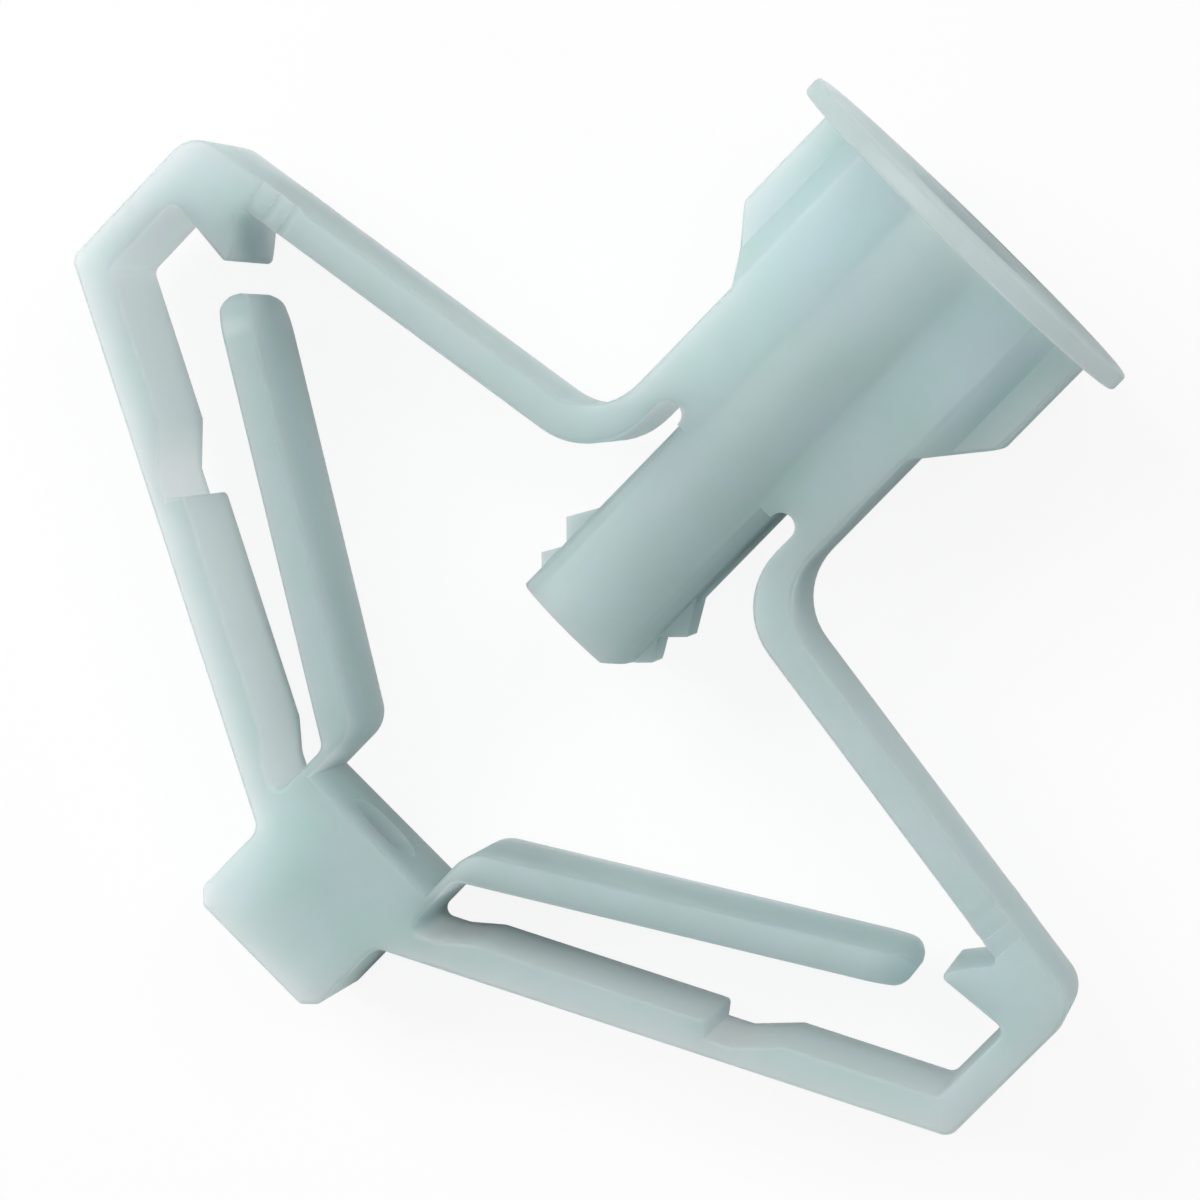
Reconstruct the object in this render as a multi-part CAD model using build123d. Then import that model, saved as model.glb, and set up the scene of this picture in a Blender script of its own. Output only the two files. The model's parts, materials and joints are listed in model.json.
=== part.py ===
from build123d import *

import os
from math import atan2, cos, degrees, radians, sin, tan

# Winged plasterboard anchor for a 10 mm hole, moulded in one piece of soft plastic.
#
# The anchor is drawn lying flat in its own moulding frame: +X runs along the screw axis, from
# the outer face of the flange to the end block, +Y runs out along one wing and Z is the depth of
# the mould. The finished solid is then laid down as it comes to rest, on the rim of its flange
# and on the far edge of its end block, with the origin under the middle of its box.
#
# One wing is a strap that leaves the sleeve, a corner lug with a hook, a short link and a long
# arm that comes back to the end block. A finger springs from the same block and ends just below
# the hook. All lengths are millimetres and all angles degrees.

# Hole in the board, and the screw's path down the middle
hole_radius = 5.0
bore_radius = 1.45
countersink_width = 0.95
thread_bite = 0.25

# Flange and sleeve
flange_radius = 6.2
flange_thickness = 0.58
fin_grip = 0.12
fin_depth = 3.2
fin_end_x = 4.0
fin_taper_length = 1.95
fin_shoulder = 0.7
crown_height = 0.35
tube_wall = 0.43
tube_edge_radius = 1.1
tube_length = 16.29
slit_width = 0.82
slit_start_x = 9.42

# Barbs on the two sides of the tube's end, and the slant that cuts one side of its nose back
barb_count = 2
barb_depth = 2.2
barb_pitch = 1.25
barb_end_gap = 0.82
barb_ramp_angle = 30
barb_back_angle = 45
barb_height = 0.6
barb_height_step = 0.2
nose_angle = 52
nose_slant_depth = 0.56

# Wing, the same on both sides
member_depth = 5.6
wing_half_span = 18.0
root_thickness = 0.82
strap_thickness = 1.0
strap_angle = 8.4
strap_reach = 2.55
link_thickness = 1.03
link_length = 4.48
lug_length = 1.03
hook_root_length = 1.41
hook_length = 2.62
hook_tip_drop = 0.25
arm_thickness = 1.0
arm_angle = 27.35
finger_thickness = 0.95
finger_setback = 0.26
finger_tip_aside = 0.54
finger_tip_gap = 0.42

# End block that takes the screw, and how far ahead of the arms it starts
block_length = 4.94
block_half_width = 2.42
block_lead = 1.06
block_corner = 0.4

# Thin places where the wing folds
neck_thickness = 0.3
arm_hinge_thickness = 0.75
arm_hinge_length = 0.9
arm_hinge_runout = 0.8
arm_notch_setback = 5.19
arm_notch_length = 2.05
arm_notch_depth = 0.5
arm_notch_wall = 0.3
groove_count = 3
groove_width = 0.24
groove_spacing = 0.58
groove_setback = 0.3
groove_depth = 0.1
groove_overrun = 0.1

# Rounding of the bends, outside and inside, and of the finger's tip: across the mould's depth,
# and as a share of the finger's thickness
strap_bend_radius = 2.0
strap_back_radius = 2.25
outer_corner_radius = 1.0
heel_corner_radius = 0.45
inner_corner_radius = 0.3
gap_end_radius = 0.28
arm_heel_radius = 0.5
arm_hinge_bend_radius = 0.8
neck_inner_radius = 1.0
neck_outer_radius = 0.4
block_corner_radius = 0.25
hook_radius = 0.18
finger_nose_radius = 1.3
finger_tip_share = 0.49

# How far a piece reaches into the one that carries it, so that the two fuse
strap_root_overlap = 1.0
arm_root_overlap = 0.6
barb_root_overlap = 0.3

# Across the sleeve, from the bore outwards
fin_half_width = hole_radius + fin_grip
crown_radius = member_depth / 2 + crown_height
countersink_radius = bore_radius + countersink_width
pilot_radius = bore_radius - thread_bite
tube_half_width = bore_radius + tube_wall
root_inner_y = tube_half_width + slit_width
root_axis_y = root_inner_y + root_thickness / 2
body_half_width = root_inner_y + root_thickness
slit_axis_y = tube_half_width + slit_width / 2

# Along the sleeve
fin_stop_x = fin_end_x + fin_taper_length
strap_turn_x = slit_start_x + strap_reach

# Across the wing, from its tip inwards
link_axis_y = wing_half_span - link_thickness / 2
link_inner_y = wing_half_span - link_thickness
hook_top_y = link_inner_y - hook_root_length
hook_tip_y = link_inner_y - hook_length
finger_tip_y = hook_tip_y - finger_tip_gap
arm_notch_y = link_inner_y - arm_notch_setback
neck_outer_y = block_half_width + neck_thickness


def strap_x(y, side):
    """Axial place of the strap's centre line (side 0) or of one of its faces (-1 head, +1 tail)."""
    along = tan(radians(strap_angle)) * (y - root_axis_y)
    return strap_turn_x + along + side * strap_thickness / 2 / cos(radians(strap_angle))


def arm_x(y, side):
    """Axial place of the arm's centre line or of one of its two faces."""
    along = tan(radians(arm_angle)) * (link_axis_y - y)
    return arm_corner_x + along + side * arm_thickness / 2 / cos(radians(arm_angle))


def arm_hinge_x(y):
    """Axial place of the arm's inner face where the arm is thinned to fold."""
    return arm_x(y, 1) - arm_hinge_thickness / cos(radians(arm_angle))


def finger_x(y, side):
    """Axial place of the finger's centre line or of one of its two faces."""
    return finger_axis_x - tan(finger_turn) * y + side * finger_thickness / 2 / cos(finger_turn)


# Along the wing, from the strap round to the block, and the finger that runs back to the hook
arm_corner_x = strap_x(link_axis_y, 0) + link_length
lug_end_x = strap_x(link_inner_y, 1) + lug_length
hook_tip_x = lug_end_x + hook_tip_drop
block_start_x = arm_x(block_half_width, -1) - block_lead
block_end_x = block_start_x + block_length
finger_axis_x = block_start_x + finger_setback
finger_tip_x = hook_tip_x + finger_tip_aside
finger_turn = atan2(finger_axis_x - finger_tip_x, finger_tip_y)


def rounded(points):
    """Face inside a closed outline of (x, y, corner radius) points."""
    corners = [(x, y) for x, y, radius in points]
    radii = [radius for x, y, radius in points]
    return make_face(FilletPolyline(*corners, radius=radii, close=True))


def plate(face, depth):
    """Slab of the given depth, centred on the mould's middle plane."""
    return extrude(face, amount=depth / 2, both=True)


def along_axis(section, end_x):
    """Section of the sleeve, drawn across the screw axis, run from the flange's face to a place."""
    return extrude(Plane.YZ * section, amount=end_x, dir=(1, 0, 0))


def axial_disc(radius, start_x, end_x, end_radius=None):
    """Cylinder or cone about the screw axis."""
    length = end_x - start_x
    middle = Pos((start_x + end_x) / 2, 0, 0) * Rot(0, 90, 0)
    if end_radius is None:
        return middle * Cylinder(radius, length)
    return middle * Cone(radius, end_radius, length)


def sleeve():
    """Flange, finned collar, webbed body and the tube that reaches in between the wings."""
    flange = axial_disc(flange_radius, 0, flange_thickness)
    webs = Rectangle(2 * body_half_width, member_depth)
    crown = Circle(crown_radius)
    body = along_axis(webs + crown, slit_start_x + slit_width / 2)
    tube_outline = RectangleRounded(2 * tube_half_width, 2 * crown_radius, tube_edge_radius)
    tube = along_axis(tube_outline & crown, tube_length)
    return flange + collar() + body - slit_ends() + tube


def slit_ends():
    """Round ends of the two slits that part the tube from the straps."""
    middle = Pos(slit_start_x + slit_width / 2, slit_axis_y, 0)
    right = middle * Cylinder(slit_width / 2, 2 * crown_radius)
    return right + mirror(right, Plane.XZ)


def collar():
    """Pair of fins that keep the anchor from turning, run out to the body's width."""
    plan = Polygon(
        (0, -fin_half_width),
        (fin_end_x, -fin_half_width),
        (fin_stop_x, -body_half_width),
        (fin_stop_x, body_half_width),
        (fin_end_x, fin_half_width),
        (0, fin_half_width),
        align=None,
    )
    shoulder_y = body_half_width + fin_shoulder
    quarter = [
        (body_half_width, member_depth / 2),
        (shoulder_y, fin_depth / 2),
        (fin_half_width, fin_depth / 2),
    ]
    right = quarter + [(y, -z) for y, z in reversed(quarter)]
    left = [(-y, -z) for y, z in right]
    section = Polygon(*right, *left, align=None)
    return plate(plan, member_depth) & along_axis(section, fin_stop_x)


def barbs():
    """Saw teeth along both sides of the tube's end, each lower than the one before it."""
    root_y = tube_half_width - barb_root_overlap
    teeth = Part()
    for step in range(barb_count):
        crest_x = tube_length - barb_end_gap - barb_pitch * (barb_count - 1 - step)
        height = barb_height - barb_height_step * step
        ramp_x = crest_x - height / tan(radians(barb_ramp_angle))
        back_x = crest_x + height / tan(radians(barb_back_angle))
        outline = Polygon(
            (ramp_x, root_y),
            (ramp_x, tube_half_width),
            (crest_x, tube_half_width + height),
            (back_x, tube_half_width),
            (back_x, root_y),
            align=None,
        )
        teeth += plate(outline, barb_depth)
    return teeth + mirror(teeth, Plane.XZ)


def nose_slant():
    """Wedge that slants one side of the tube's nose, so that it finds its way into the block."""
    length = barb_end_gap + barb_pitch
    near_y = tube_half_width - nose_slant_depth
    far_y = near_y + length * tan(radians(nose_angle))
    wedge = Polygon(
        (tube_length, near_y),
        (tube_length, far_y),
        (tube_length - length, far_y),
        align=None,
    )
    return plate(wedge, 2 * crown_radius)


def strip():
    """Outline of one wing's bent strip: strap, corner lug with its hook, link and arm."""
    buried_x = slit_start_x - strap_root_overlap
    block_y = block_half_width - arm_root_overlap
    hinge_y = neck_outer_y + arm_hinge_length
    full_y = hinge_y + arm_hinge_runout
    return rounded([
        (buried_x, body_half_width, 0),
        (strap_x(body_half_width, -1), body_half_width, strap_bend_radius),
        (strap_x(wing_half_span, -1), wing_half_span, outer_corner_radius),
        (arm_x(wing_half_span, 1), wing_half_span, heel_corner_radius),
        (arm_x(block_y, 1), block_y, 0),
        (arm_hinge_x(block_y), block_y, 0),
        (arm_hinge_x(hinge_y), hinge_y, arm_hinge_bend_radius),
        (arm_x(full_y, -1), full_y, arm_hinge_bend_radius),
        (arm_x(link_inner_y, -1), link_inner_y, inner_corner_radius),
        (lug_end_x, link_inner_y, inner_corner_radius),
        (hook_tip_x, hook_tip_y, hook_radius),
        (strap_x(hook_top_y, 1), hook_top_y, hook_radius),
        (strap_x(root_inner_y, 1), root_inner_y, strap_back_radius),
        (buried_x, root_inner_y, 0),
    ])


def finger():
    """Outline of one sprung finger with its thin neck along the side of the end block."""
    end_radius = finger_tip_share * finger_thickness
    across_x = finger_thickness / 2 * cos(finger_turn)
    across_y = finger_thickness / 2 * sin(finger_turn)
    neck_end_x = arm_x(neck_outer_y, 0)
    return rounded([
        (finger_tip_x - across_x, finger_tip_y - across_y, end_radius),
        (finger_x(block_half_width, -1), block_half_width, neck_inner_radius),
        (neck_end_x, block_half_width, 0),
        (neck_end_x, neck_outer_y, 0),
        (finger_x(neck_outer_y, 1), neck_outer_y, neck_outer_radius),
        (finger_tip_x + across_x, finger_tip_y + across_y, end_radius),
    ])


def end_block():
    """Outline of the square block at the far end, its two far corners cut back."""
    return rounded([
        (block_start_x, -block_half_width, 0),
        (block_end_x - block_corner, -block_half_width, block_corner_radius),
        (block_end_x, -block_half_width + block_corner, block_corner_radius),
        (block_end_x, block_half_width - block_corner, block_corner_radius),
        (block_end_x - block_corner, block_half_width, block_corner_radius),
        (block_start_x, block_half_width, 0),
    ])


def softened(plan, x, y, radius):
    """Flat outline with the pair of corners nearest to (x, y) and (x, -y) rounded."""
    for side in (-1, 1):
        corner = plan.vertices().sort_by_distance((x, side * y, 0))[0]
        plan = fillet(corner, radius)
    return plan


def wings():
    """Both wings and the end block, moulded to one depth."""
    wing = strip() + finger()
    plan = end_block() + wing + mirror(wing, Plane.XZ)
    plan = softened(plan, arm_hinge_x(neck_outer_y), neck_outer_y, gap_end_radius)
    plan = softened(plan, arm_x(block_half_width, 1), block_half_width, arm_heel_radius)
    cuts = arm_notch() + strap_grooves() + finger_nose_waste()
    return plate(plan, member_depth) - cuts - mirror(cuts, Plane.XZ)


def arm_notch():
    """Notch in the inner face of one wing's arm, steep towards the block, where the arm folds."""
    start_y = arm_notch_y + arm_notch_length / 2
    end_y = arm_notch_y - arm_notch_length / 2
    deepest_y = end_y + arm_notch_wall
    depth_x = arm_notch_depth / cos(radians(arm_angle))
    outline = Polygon(
        (arm_x(start_y, -1), start_y),
        (arm_x(arm_notch_y, -1) + depth_x, arm_notch_y),
        (arm_x(deepest_y, -1) + depth_x, deepest_y),
        (arm_x(end_y, -1), end_y),
        (arm_x(end_y, -1) - arm_notch_depth, end_y),
        (arm_x(start_y, -1) - arm_notch_depth, start_y),
        align=None,
    )
    return plate(outline, 2 * member_depth)


def strap_grooves():
    """Shallow grooves across both faces of one wing's strap, in from the root of its hook."""
    cutter = Box(strap_thickness + 2 * groove_overrun, groove_width, 2 * groove_depth)
    grooves = Part()
    for step in range(groove_count):
        groove_y = hook_top_y - groove_setback - groove_spacing * step
        place = Pos(strap_x(groove_y, 0), groove_y, 0) * Rot(0, 0, -strap_angle)
        for face in (-1, 1):
            grooves += place * Pos(0, 0, face * member_depth / 2) * cutter
    return grooves


def finger_nose_waste():
    """What is cut away above and below one finger's tip, so that it ends in a round nose."""
    along_finger = Plane(
        origin=(finger_tip_x, finger_tip_y, 0),
        x_dir=(-sin(finger_turn), cos(finger_turn), 0),
        z_dir=(cos(finger_turn), sin(finger_turn), 0),
    )
    nose = Pos(-member_depth / 2, 0) * RectangleRounded(member_depth, member_depth, finger_nose_radius)
    waste = Pos(-finger_nose_radius / 2, 0) * Rectangle(finger_nose_radius, 2 * member_depth) - nose
    return extrude(along_finger * waste, amount=finger_thickness, both=True)


def screw_path():
    """Clearance bore through the sleeve and the smaller bore in the end block."""
    sink_depth = countersink_radius - bore_radius
    sink = axial_disc(countersink_radius, 0, sink_depth, bore_radius)
    bore = axial_disc(bore_radius, 0, tube_length)
    pilot = axial_disc(pilot_radius, block_start_x, block_end_x)
    return sink + bore + pilot


def anchor():
    """The whole moulding in its own frame."""
    return sleeve() + barbs() - nose_slant() + wings() - screw_path()


def rest_angle():
    """Turn about Y that brings the flange's rim and the end block's far edge to one level."""
    drop = flange_radius - member_depth / 2
    run = block_end_x - flange_thickness
    return degrees(atan2(drop, run))


def laid_down(part):
    """The part as it lies, with the origin under the middle of its box."""
    turned = Rot(0, rest_angle(), 0) * part
    box = turned.bounding_box()
    middle = box.center()
    return Pos(-middle.X, -middle.Y, -box.min.Z) * turned


os.makedirs("parts", exist_ok=True)
export_step(laid_down(anchor()), "parts/anchor_moulding.step")
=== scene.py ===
"""A winged plasterboard anchor, moulded in one piece of pale plastic, lying on a white table."""

import json
import logging
import math
from dataclasses import dataclass, field
from typing import Any

import bmesh
import bpy
from mathutils import Matrix, Vector


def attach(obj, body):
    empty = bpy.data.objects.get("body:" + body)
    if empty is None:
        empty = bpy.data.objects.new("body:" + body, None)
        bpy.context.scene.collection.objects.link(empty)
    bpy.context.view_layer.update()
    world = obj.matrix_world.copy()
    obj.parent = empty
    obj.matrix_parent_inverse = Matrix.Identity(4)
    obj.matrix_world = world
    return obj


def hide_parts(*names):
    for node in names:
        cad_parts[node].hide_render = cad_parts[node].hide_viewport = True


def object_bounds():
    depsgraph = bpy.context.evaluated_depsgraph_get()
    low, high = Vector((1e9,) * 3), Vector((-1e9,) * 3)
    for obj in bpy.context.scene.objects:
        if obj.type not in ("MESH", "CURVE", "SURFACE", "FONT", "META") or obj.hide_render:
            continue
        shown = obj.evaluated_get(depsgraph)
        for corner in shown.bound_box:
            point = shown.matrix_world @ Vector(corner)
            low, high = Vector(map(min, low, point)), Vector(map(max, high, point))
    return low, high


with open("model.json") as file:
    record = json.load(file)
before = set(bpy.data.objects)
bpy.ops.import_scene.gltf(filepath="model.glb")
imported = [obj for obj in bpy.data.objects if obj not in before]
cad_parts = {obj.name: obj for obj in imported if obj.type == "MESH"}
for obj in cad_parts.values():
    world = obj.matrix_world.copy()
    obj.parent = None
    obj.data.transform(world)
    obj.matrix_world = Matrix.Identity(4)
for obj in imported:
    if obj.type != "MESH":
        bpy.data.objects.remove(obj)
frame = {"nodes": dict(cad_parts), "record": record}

cad_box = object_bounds()
log = logging.getLogger("anchor")

MM = 0.001
DISPLAY_TOP = 255
DISPLAY_OFFSET = 0.055
DISPLAY_POWER = 2.4

# A place in metres, or a direction.
Spot = tuple[float, float, float]
# Red, green, blue and alpha, linear.
Colour = tuple[float, float, float, float]


@dataclass(frozen=True)
class MouldingFrame:
    """The moulding's own axes: X along the screw, Y along one wing, Z through the mould's depth.

    Args:
        origin: Middle of the flange's outer face, in the row's frame.
        screw: Direction in which a screw goes in.
        wing: Direction of one wing.
    """

    origin: Vector
    screw: Vector
    wing: Vector

    @classmethod
    def from_record(cls, record: dict[str, Any]) -> "MouldingFrame":
        """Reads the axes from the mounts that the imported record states.

        The flange's mount stands beside the screw's axis, which lies in the row's middle plane.

        Args:
            record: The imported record.

        Returns:
            The moulding's frame.
        """
        mounts = {mount["name"]: mount for mount in record["mounts"]}
        face = Vector(mounts["flange_face"]["pos_m"])
        screw = -Vector(mounts["screw_bore"]["axis"]).normalized()
        return cls(Vector((face.x, 0.0, face.z)), screw, Vector((0.0, 1.0, 0.0)))

    def matrix(self) -> Matrix:
        """Works out where the moulding stands in the row's frame.

        Returns:
            The matrix that takes moulding coordinates to the row's frame.
        """
        depth = self.screw.cross(self.wing)
        turn = Matrix((self.screw, self.wing, depth)).transposed().to_4x4()
        return Matrix.Translation(self.origin) @ turn


@dataclass(frozen=True)
class Patch:
    """Place on the moulding, repeated on both wings and on both faces of the mould.

    Args:
        along: Nearest and furthest distance from the flange's face, in mm.
        across: Nearest and furthest distance from the screw's axis along a wing, in mm.
        depth: Nearest and furthest distance from the mould's middle plane, in mm.
    """

    along: tuple[float, float]
    across: tuple[float, float]
    depth: tuple[float, float]

    def holds(self, spot: Vector) -> bool:
        """Says whether a point lies in the patch.

        Args:
            spot: The point, in metres in the moulding's frame.

        Returns:
            Whether it does.
        """
        limits = (self.along, self.across, self.depth)
        reach = (spot.x / MM, abs(spot.y) / MM, abs(spot.z) / MM)
        return all(low <= value <= high for value, (low, high) in zip(reach, limits))


def linear(red: int, green: int, blue: int) -> Colour:
    """Turns a display colour of 0 to 255, not near black, into a linear one.

    Args:
        red: Red, 0 to 255.
        green: Green, 0 to 255.
        blue: Blue, 0 to 255.

    Returns:
        The linear colour with an alpha of 1.
    """
    shares = [channel / DISPLAY_TOP for channel in (red, green, blue)]
    lifted = [(share + DISPLAY_OFFSET) / (1 + DISPLAY_OFFSET) for share in shares]
    return (*(share**DISPLAY_POWER for share in lifted), 1.0)


@dataclass(frozen=True)
class MilkyNylon:
    """Pale grey-green moulded nylon: matt, milky right through, with faint cloudy flow marks.

    Args:
        name: The material's name.
        base: Its colour where the clouds are even.
        cool: Its bluer colour, where they are thick.
        warm: Its greener colour, where they are thin.
        polish: Roughness where it has been handled.
        dullness: Roughness of the mould's matt skin.
        refraction: Index of refraction.
        milkiness: Share of the light that goes in and comes out elsewhere.
        milk_reach: How far that light travels inside.
        milk_colour_reach: How much further each colour travels.
        cloud_scale: Clouds to the metre.
        cloud_detail: Octaves of detail in them.
        cloud_low: Level at which they count as thin.
        cloud_middle: Level at which they count as even.
        cloud_high: Level at which they count as thick.
        grain_scale: Grains to the metre.
        grain_detail: Octaves of detail in them.
        grain_strength: How strongly they show.
        grain_height: How high they stand.
    """

    name: str = "milky_nylon"
    base: Colour = linear(176, 207, 208)
    cool: Colour = linear(179, 206, 212)
    warm: Colour = linear(172, 208, 203)
    polish: float = 0.44
    dullness: float = 0.58
    refraction: float = 1.5
    milkiness: float = 1.0
    milk_reach: float = 14.0 * MM
    milk_colour_reach: tuple[float, float, float] = (1.08, 1.0, 1.02)
    cloud_scale: float = 420.0
    cloud_detail: float = 3.0
    cloud_low: float = 0.35
    cloud_middle: float = 0.5
    cloud_high: float = 0.65
    grain_scale: float = 5200.0
    grain_detail: float = 2.0
    grain_strength: float = 0.5
    grain_height: float = 0.004 * MM

    def build(self) -> bpy.types.Material:
        """Makes the material.

        Returns:
            The finished material.
        """
        material = bpy.data.materials.new(self.name)
        material.use_nodes = True
        nodes, links = material.node_tree.nodes, material.node_tree.links
        shader = nodes["Principled BSDF"]
        shader.inputs["Subsurface Weight"].default_value = self.milkiness
        shader.inputs["Subsurface Radius"].default_value = self.milk_colour_reach
        shader.inputs["Subsurface Scale"].default_value = self.milk_reach
        shader.inputs["IOR"].default_value = self.refraction
        place = nodes.new("ShaderNodeTexCoord")
        clouds = self.noise(nodes, self.cloud_scale, self.cloud_detail)
        links.new(place.outputs["Object"], clouds.inputs["Vector"])
        self.tint(nodes, links, clouds, shader)
        self.sheen(nodes, links, clouds, shader)
        grain = self.noise(nodes, self.grain_scale, self.grain_detail)
        links.new(place.outputs["Object"], grain.inputs["Vector"])
        bump = nodes.new("ShaderNodeBump")
        bump.inputs["Strength"].default_value = self.grain_strength
        bump.inputs["Distance"].default_value = self.grain_height
        links.new(grain.outputs["Fac"], bump.inputs["Height"])
        links.new(bump.outputs["Normal"], shader.inputs["Normal"])
        return material

    @staticmethod
    def noise(nodes: bpy.types.Nodes, scale: float, detail: float) -> bpy.types.Node:
        """Adds a noise texture.

        Args:
            nodes: The material's nodes.
            scale: Cells to the metre.
            detail: Octaves of detail.

        Returns:
            The texture's node.
        """
        texture = nodes.new("ShaderNodeTexNoise")
        texture.inputs["Scale"].default_value = scale
        texture.inputs["Detail"].default_value = detail
        return texture

    def tint(
        self,
        nodes: bpy.types.Nodes,
        links: bpy.types.NodeLinks,
        clouds: bpy.types.Node,
        shader: bpy.types.Node,
    ) -> None:
        """Drifts the colour a little between a greener and a bluer grey.

        Args:
            nodes: The material's nodes.
            links: The material's links.
            clouds: The cloudy noise.
            shader: The shader that takes the colour.
        """
        ramp = nodes.new("ShaderNodeValToRGB")
        stops = ramp.color_ramp.elements
        stops[0].position = self.cloud_low
        stops[0].color = self.warm
        stops[1].position = self.cloud_high
        stops[1].color = self.cool
        stops.new(self.cloud_middle).color = self.base
        links.new(clouds.outputs["Fac"], ramp.inputs["Fac"])
        links.new(ramp.outputs["Color"], shader.inputs["Base Color"])

    def sheen(
        self,
        nodes: bpy.types.Nodes,
        links: bpy.types.NodeLinks,
        clouds: bpy.types.Node,
        shader: bpy.types.Node,
    ) -> None:
        """Lets the gloss wander between a handled polish and the mould's matt skin.

        Args:
            nodes: The material's nodes.
            links: The material's links.
            clouds: The cloudy noise.
            shader: The shader that takes the roughness.
        """
        spread = nodes.new("ShaderNodeMapRange")
        spread.inputs["From Min"].default_value = self.cloud_low
        spread.inputs["From Max"].default_value = self.cloud_high
        spread.inputs["To Min"].default_value = self.polish
        spread.inputs["To Max"].default_value = self.dullness
        links.new(clouds.outputs["Fac"], spread.inputs["Value"])
        links.new(spread.outputs["Result"], shader.inputs["Roughness"])


@dataclass(frozen=True)
class WhiteTable:
    """Matt white sheet that reads as white and still takes a soft shadow.

    Args:
        name: The material's name.
        colour: The sheet's own colour.
        glow_colour: Colour of the even white that the camera sees over it.
        glow: Strength of that white, where 1 is white.
        glow_share: How much of it the camera sees; the rest is the lit sheet, with its shadow.
    """

    name: str = "white_table"
    colour: Colour = (0.95, 0.95, 0.95, 1.0)
    glow_colour: Colour = (1.0, 1.0, 1.0, 1.0)
    glow: float = 1.0
    glow_share: float = 0.9

    def build(self) -> bpy.types.Material:
        """Makes the material.

        Returns:
            The finished material.
        """
        material = bpy.data.materials.new(self.name)
        material.use_nodes = True
        nodes, links = material.node_tree.nodes, material.node_tree.links
        nodes.clear()
        paper = nodes.new("ShaderNodeBsdfDiffuse")
        paper.inputs["Color"].default_value = self.colour
        lit = nodes.new("ShaderNodeEmission")
        lit.inputs["Color"].default_value = self.glow_colour
        lit.inputs["Strength"].default_value = self.glow
        path = nodes.new("ShaderNodeLightPath")
        share = nodes.new("ShaderNodeMath")
        share.operation = "MULTIPLY"
        share.inputs[1].default_value = self.glow_share
        mix = nodes.new("ShaderNodeMixShader")
        out = nodes.new("ShaderNodeOutputMaterial")
        links.new(path.outputs["Is Camera Ray"], share.inputs[0])
        links.new(share.outputs[0], mix.inputs["Fac"])
        links.new(paper.outputs[0], mix.inputs[1])
        links.new(lit.outputs[0], mix.inputs[2])
        links.new(mix.outputs[0], out.inputs["Surface"])
        return material


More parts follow.
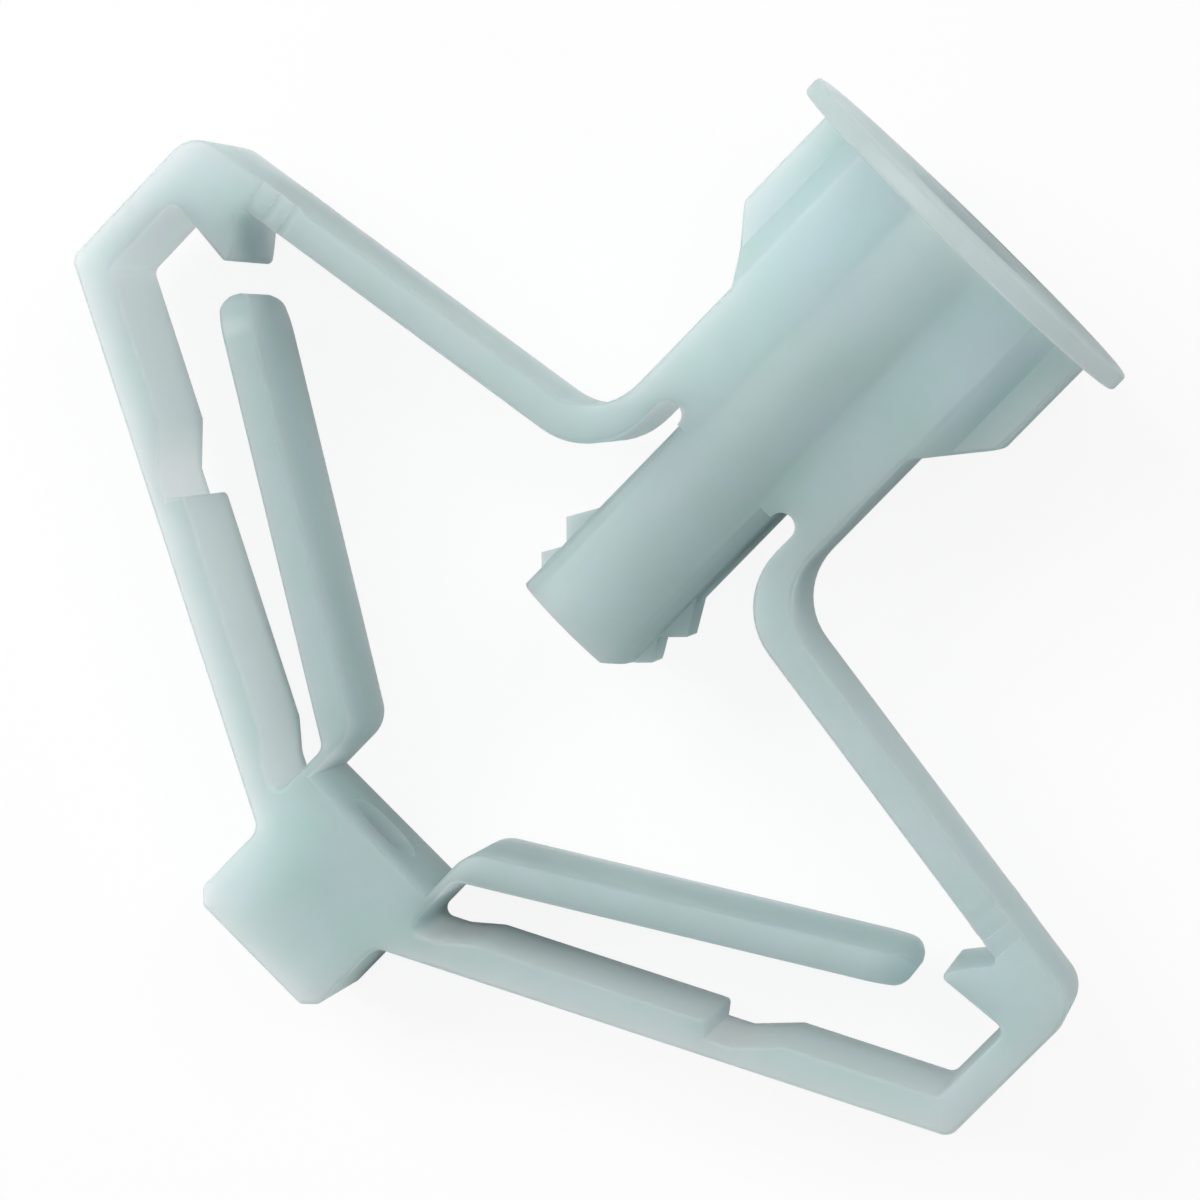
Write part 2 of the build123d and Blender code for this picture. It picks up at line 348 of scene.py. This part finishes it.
@dataclass
class AnchorMoulding:
    """The whole anchor, refined from its CAD solid with the small radii that a mould leaves.

    Args:
        place: Matrix from the moulding's frame to the row's.
        node: The CAD node that it stands for.
        name: The finished piece's name.
        weld: Distance within which the CAD triangles' corners are joined.
        flat_angle: Bend below which two faces count as one.
        edge_angle: Bend above which an edge counts as a corner.
        edge_radius: Radius of most outer corners.
        edge_segments: Steps in that radius.
        fine_radius: Radius at the tube's nose.
        fine_segments: Steps in that radius.
        strap_grooves: Where the straps' fine grooves run.
        slit_ends: Where the slits beside the tube end.
        barbs: Where the barbs on the tube's sides stand.
        tube_nose: Where the tube's nose is.
        block_mouth: Where the bore enters the end block.
        finish: The plastic.
    """

    place: Matrix
    node: str = "anchor_moulding"
    name: str = "moulded_body"
    weld: float = 0.002 * MM
    flat_angle: float = math.radians(0.6)
    edge_angle: float = math.radians(32)
    edge_radius: float = 0.12 * MM
    edge_segments: int = 3
    fine_radius: float = 0.03 * MM
    fine_segments: int = 2
    strap_grooves: Patch = Patch((11.0, 15.1), (13.9, 15.45), (2.6, 3.0))
    slit_ends: Patch = Patch((8.9, 10.6), (1.5, 3.1), (0.0, 3.3))
    barbs: Patch = Patch((12.9, 16.05), (1.7, 2.65), (0.0, 1.2))
    tube_nose: Patch = Patch((16.05, 17.0), (0.0, 2.65), (0.0, 3.3))
    block_mouth: Patch = Patch((24.0, 25.5), (0.0, 1.35), (0.0, 1.35))
    finish: MilkyNylon = field(default_factory=MilkyNylon)

    def corners(self, skin: bmesh.types.BMesh) -> list[tuple[bmesh.types.BMEdge, Vector]]:
        """Finds the skin's outer corners.

        Args:
            skin: The closed skin.

        Returns:
            Each outer corner's edge, with its middle in the moulding's frame.
        """
        into = self.place.inverted()
        skin.normal_update()
        return [
            (edge, into @ ((edge.verts[0].co + edge.verts[1].co) / 2))
            for edge in skin.edges
            if edge.is_convex and edge.calc_face_angle(0.0) > self.edge_angle
        ]

    @staticmethod
    def round_off(
        skin: bmesh.types.BMesh,
        edges: list[bmesh.types.BMEdge],
        radius: float,
        segments: int,
    ) -> None:
        """Rounds a set of corners.

        The overlap isn't clamped, because the shortest edge on the skin would then stop every
        corner from being rounded.

        Args:
            skin: The closed skin.
            edges: The corners' edges.
            radius: How far the rounding reaches from each corner.
            segments: Steps in the rounding.
        """
        bmesh.ops.bevel(
            skin,
            geom=edges,
            offset=radius,
            offset_type="OFFSET",
            segments=segments,
            profile=0.5,
            affect="EDGES",
            clamp_overlap=False,
            material=-1,
            miter_outer="ARC",
            loop_slide=True,
        )

    def solid(self, cad: bpy.types.Object) -> bpy.types.Mesh:
        """Joins the CAD triangles into one closed skin and rounds its corners.

        The tube's nose takes a finer radius than the rest. The grooves, the slits' ends, the
        barbs and the mouth of the block's bore are too small for one, and stay crisp.

        Args:
            cad: The CAD node's object.

        Returns:
            The new mesh.
        """
        skin = bmesh.new()
        skin.from_mesh(cad.data)
        bmesh.ops.remove_doubles(skin, verts=skin.verts, dist=self.weld)
        bmesh.ops.dissolve_limit(
            skin,
            angle_limit=self.flat_angle,
            use_dissolve_boundaries=False,
            verts=skin.verts,
            edges=skin.edges,
            delimit={"NORMAL"},
        )
        tight = (self.strap_grooves, self.slit_ends, self.barbs, self.tube_nose, self.block_mouth)
        roomy = [
            edge
            for edge, spot in self.corners(skin)
            if not any(patch.holds(spot) for patch in tight)
        ]
        self.round_off(skin, roomy, self.edge_radius, self.edge_segments)
        fine = [edge for edge, spot in self.corners(skin) if self.tube_nose.holds(spot)]
        self.round_off(skin, fine, self.fine_radius, self.fine_segments)
        for face in skin.faces:
            face.smooth = True
        for edge in skin.edges:
            edge.smooth = edge.calc_face_angle(0.0) < self.edge_angle
        mesh = bpy.data.meshes.new(self.name)
        skin.to_mesh(mesh)
        skin.free()
        return mesh

    def build(self) -> bpy.types.Object:
        """Makes the piece that stands for the CAD node.

        Returns:
            The finished piece.
        """
        piece = bpy.data.objects.new(self.name, self.solid(frame["nodes"][self.node]))
        bpy.context.scene.collection.objects.link(piece)
        piece.data.materials.clear()
        piece.data.materials.append(self.finish.build())
        even = piece.modifiers.new("even_shading", "WEIGHTED_NORMAL")
        even.keep_sharp = True
        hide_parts(self.node)
        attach(piece, "root")
        log.info("%s: %d faces", piece.name, len(piece.data.polygons))
        return piece


@dataclass(frozen=True)
class SoftLamp:
    """Square soft lamp that faces the middle of the anchor.

    Args:
        name: The lamp's name.
        spot: Where it hangs, in metres in the moulding's frame.
        power: Its power in watts.
        size: Side of the lamp.
    """

    name: str
    spot: Spot
    power: float
    size: float = 0.15


@dataclass
class Studio:
    """White table, three soft lamps and the camera, all set out in the moulding's frame.

    Args:
        place: Matrix from the moulding's frame to the row's.
        table_half: Half of the table's side.
        table_gap: How far the table lies under the anchor, so that the two never share a face.
        table_finish: The table's finish.
        world_strength: Light from all round.
        backdrop_strength: What the camera sees of the backdrop, where 1 is white.
        lamps: The soft lamps.
        lens: The camera's focal length in mm.
        sensor: Width of its sensor in mm.
        near: Nearest distance that it sees.
        far: Furthest distance that it sees.
        camera_stand: Where the camera hangs, in the moulding's frame.
        camera_aim: What it looks at, in the moulding's frame.
        picture_right: The picture's right, in the moulding's frame.
    """

    place: Matrix
    table_half: float = 0.6
    table_gap: float = 0.02 * MM
    table_finish: WhiteTable = field(default_factory=WhiteTable)
    world_strength: float = 0.18
    backdrop_strength: float = 1.0
    lamps: tuple[SoftLamp, ...] = (
        SoftLamp("key", (20 * MM, -165 * MM, 205 * MM), 0.46),
        SoftLamp("fill", (-150 * MM, 0 * MM, 260 * MM), 0.26),
        SoftLamp("end", (220 * MM, -20 * MM, 140 * MM), 0.11),
    )
    lens: float = 153.8
    sensor: float = 36.0
    near: float = 0.01
    far: float = 5.0
    camera_stand: Spot = (-5.96 * MM, 11.5 * MM, 148.3 * MM)
    camera_aim: Spot = (15.405 * MM, -0.168 * MM, 0.0)
    picture_right: Spot = (-0.705, 0.7092, 0.0)

    def at(self, spot: Spot) -> Vector:
        """A moulding point in the row's frame."""
        return self.place @ Vector(spot)

    def lay_table(self) -> None:
        """Lays the table under the anchor."""
        sheet = bmesh.new()
        bmesh.ops.create_grid(sheet, x_segments=1, y_segments=1, size=self.table_half)
        level = Vector((0.0, 0.0, cad_box[0].z - self.table_gap))
        bmesh.ops.translate(sheet, verts=sheet.verts, vec=level)
        mesh = bpy.data.meshes.new("table")
        sheet.to_mesh(mesh)
        sheet.free()
        table = bpy.data.objects.new("table", mesh)
        table.data.materials.append(self.table_finish.build())
        bpy.context.scene.collection.objects.link(table)
        log.info("%s: %.1f m across", table.name, 2 * self.table_half)

    def hang(self, lamp: SoftLamp) -> None:
        """Hangs one lamp.

        Args:
            lamp: The lamp.
        """
        data = bpy.data.lights.new(lamp.name, "AREA")
        data.shape = "SQUARE"
        data.size = lamp.size
        data.energy = lamp.power
        fixture = bpy.data.objects.new(lamp.name, data)
        fixture.location = self.at(lamp.spot)
        fixture.rotation_mode = "QUATERNION"
        facing = self.at(self.camera_aim) - fixture.location
        fixture.rotation_quaternion = facing.to_track_quat("-Z", "Y")
        bpy.context.scene.collection.objects.link(fixture)
        log.info("%s lamp: %.2f W", lamp.name, lamp.power)

    def surround(self) -> None:
        """Even white light from all round, and a white backdrop behind everything."""
        world = bpy.data.worlds.new("white_room")
        world.use_nodes = True
        nodes, links = world.node_tree.nodes, world.node_tree.links
        nodes.clear()
        room = nodes.new("ShaderNodeBackground")
        room.inputs["Strength"].default_value = self.world_strength
        white = nodes.new("ShaderNodeBackground")
        white.inputs["Strength"].default_value = self.backdrop_strength
        path = nodes.new("ShaderNodeLightPath")
        mix = nodes.new("ShaderNodeMixShader")
        out = nodes.new("ShaderNodeOutputWorld")
        links.new(path.outputs["Is Camera Ray"], mix.inputs["Fac"])
        links.new(room.outputs[0], mix.inputs[1])
        links.new(white.outputs[0], mix.inputs[2])
        links.new(mix.outputs[0], out.inputs["Surface"])
        bpy.context.scene.world = world

    def hang_camera(self) -> None:
        """Hangs the camera nearly straight above the wings."""
        data = bpy.data.cameras.new("camera")
        data.lens = self.lens
        data.sensor_width = self.sensor
        data.clip_start = self.near
        data.clip_end = self.far
        camera = bpy.data.objects.new("camera", data)
        stand, aim = self.at(self.camera_stand), self.at(self.camera_aim)
        back = (stand - aim).normalized()
        across = self.place.to_3x3() @ Vector(self.picture_right)
        right = (across - back * across.dot(back)).normalized()
        turn = Matrix((right, back.cross(right), back)).transposed()
        camera.matrix_world = Matrix.Translation(stand) @ turn.to_4x4()
        bpy.context.scene.collection.objects.link(camera)
        bpy.context.scene.camera = camera

    def build(self) -> None:
        """Sets out the table, the lights and the camera."""
        self.lay_table()
        self.surround()
        for lamp in self.lamps:
            self.hang(lamp)
        self.hang_camera()
        bpy.context.scene.view_settings.view_transform = "Standard"


def main() -> None:
    """Builds the anchor and its studio."""
    logging.basicConfig(level=logging.INFO, format="%(name)s: %(message)s")
    place = MouldingFrame.from_record(frame["record"]).matrix()
    AnchorMoulding(place).build()
    Studio(place).build()


if __name__ == "__main__":
    main()
